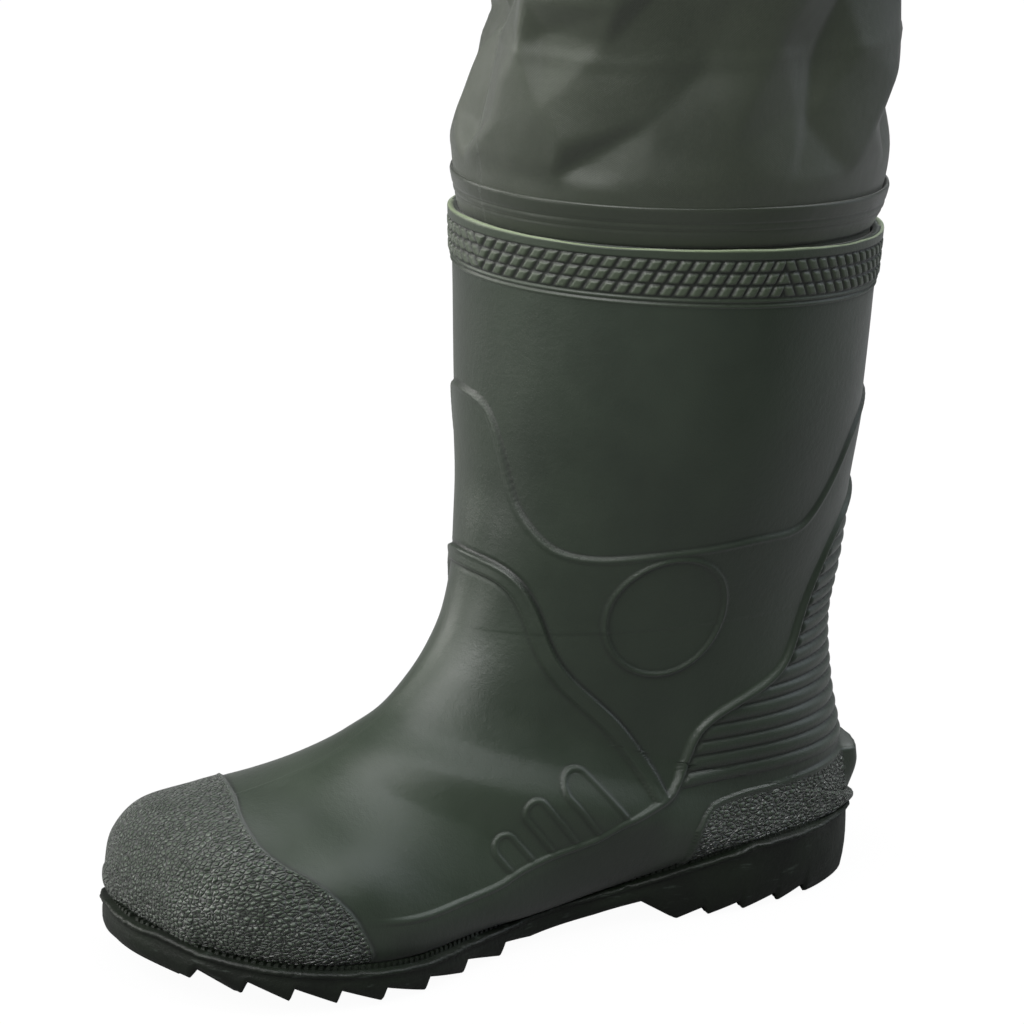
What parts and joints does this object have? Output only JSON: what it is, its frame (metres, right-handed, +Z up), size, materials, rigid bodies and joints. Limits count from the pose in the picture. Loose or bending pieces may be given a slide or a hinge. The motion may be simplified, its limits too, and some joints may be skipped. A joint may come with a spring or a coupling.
{
  "type": "chest waders",
  "caption": "Chest-high waterproof wading suit: coated-cloth legs and bib with welded-in rubber boots, a chest pocket and shoulder straps on quick-release buckles.",
  "frame": {"origin": "on the ground under the middle of the whole object", "axes": "+Z up, the suit faces -Y, the wearer's right side is at -X"},
  "size_m": [0.667, 0.3438, 1.489],
  "materials": {
    "boot_rubber": "satin moulded PVC",
    "sole_rubber": "matte moulded PVC",
    "footbed": "matte felt",
    "coated_cloth": "satin coated cloth",
    "seam_tape": "satin welded tape",
    "hook_and_loop": "matte pile",
    "webbing": "matte woven elastic",
    "buckle_plastic": "fine-grained moulded plastic"
  },
  "bodies": {
    "torso": {"seat": "coated_cloth", "bib": "coated_cloth", "top_hem": "seam_tape", "chest_pocket": "coated_cloth", "pocket_loop_strip": "hook_and_loop", "flap_seam_strip": "seam_tape", "back_cross_strap": "webbing", "right_hip_fabric": "coated_cloth", "left_hip_fabric": "coated_cloth", "right_front_tab": "webbing", "left_front_tab": "webbing", "right_buckle_tongue": "buckle_plastic", "left_buckle_tongue": "buckle_plastic", "right_shoulder_strap": "webbing", "left_shoulder_strap": "webbing", "right_back_patch": "coated_cloth", "left_back_patch": "coated_cloth"},
    "flap": {"pocket_flap": "coated_cloth", "flap_hook_strip": "hook_and_loop"},
    "right_thigh_body": {"right_thigh": "coated_cloth", "right_knee_fabric": "coated_cloth"},
    "right_boot": {"right_lower_leg": "coated_cloth", "right_boot_joint_tape": "seam_tape", "right_boot_upper": "boot_rubber", "right_insole": "footbed", "right_outsole": "sole_rubber"},
    "right_strap_end": {"right_buckle_socket": "buckle_plastic", "right_strap_front": "webbing"},
    "right_adjuster_body": {"right_adjuster": "buckle_plastic"},
    "left_thigh_body": {"left_thigh": "coated_cloth", "left_knee_fabric": "coated_cloth"},
    "left_boot": {"left_lower_leg": "coated_cloth", "left_boot_joint_tape": "seam_tape", "left_boot_upper": "boot_rubber", "left_insole": "footbed", "left_outsole": "sole_rubber"},
    "left_strap_end": {"left_buckle_socket": "buckle_plastic", "left_strap_front": "webbing"},
    "left_adjuster_body": {"left_adjuster": "buckle_plastic"}
  },
  "joints": [
    {"name": "right_hip", "type": "hinge", "parent": "torso", "child": "right_thigh_body", "pos_m": [-0.115, 0.0219, 0.71], "axis": [1, 0, 0], "range_deg": [-45, 15], "deforming": ["right_hip_fabric"]},
    {"name": "right_knee", "type": "hinge", "parent": "right_thigh_body", "child": "right_boot", "pos_m": [-0.167, 0.032, 0.49], "axis": [1, 0, 0], "range_deg": [0, 75], "deforming": ["right_knee_fabric"]},
    {"name": "right_buckle_release", "type": "slide", "parent": "torso", "child": "right_strap_end", "axis": [0, 0.2588, 0.9659], "range_m": [0, 0.022], "deforming": ["right_strap_front"]},
    {"name": "right_adjuster_slide", "type": "slide", "parent": "right_strap_end", "child": "right_adjuster_body", "axis": [0, 0.2588, 0.9659], "range_m": [-0.014, 0.014]},
    {"name": "left_hip", "type": "hinge", "parent": "torso", "child": "left_thigh_body", "pos_m": [0.115, 0.0219, 0.71], "axis": [1, 0, 0], "range_deg": [-45, 15], "deforming": ["left_hip_fabric"]},
    {"name": "left_knee", "type": "hinge", "parent": "left_thigh_body", "child": "left_boot", "pos_m": [0.167, 0.032, 0.49], "axis": [1, 0, 0], "range_deg": [0, 75], "deforming": ["left_knee_fabric"]},
    {"name": "left_buckle_release", "type": "slide", "parent": "torso", "child": "left_strap_end", "axis": [0, 0.2588, 0.9659], "range_m": [0, 0.022], "deforming": ["left_strap_front"]},
    {"name": "left_adjuster_slide", "type": "slide", "parent": "left_strap_end", "child": "left_adjuster_body", "axis": [0, 0.2588, 0.9659], "range_m": [-0.014, 0.014]},
    {"name": "pocket_flap_lift", "type": "hinge", "parent": "torso", "child": "flap", "pos_m": [0, -0.1261, 1.222], "axis": [-1, 0, 0], "range_deg": [0, 85]}
  ]
}
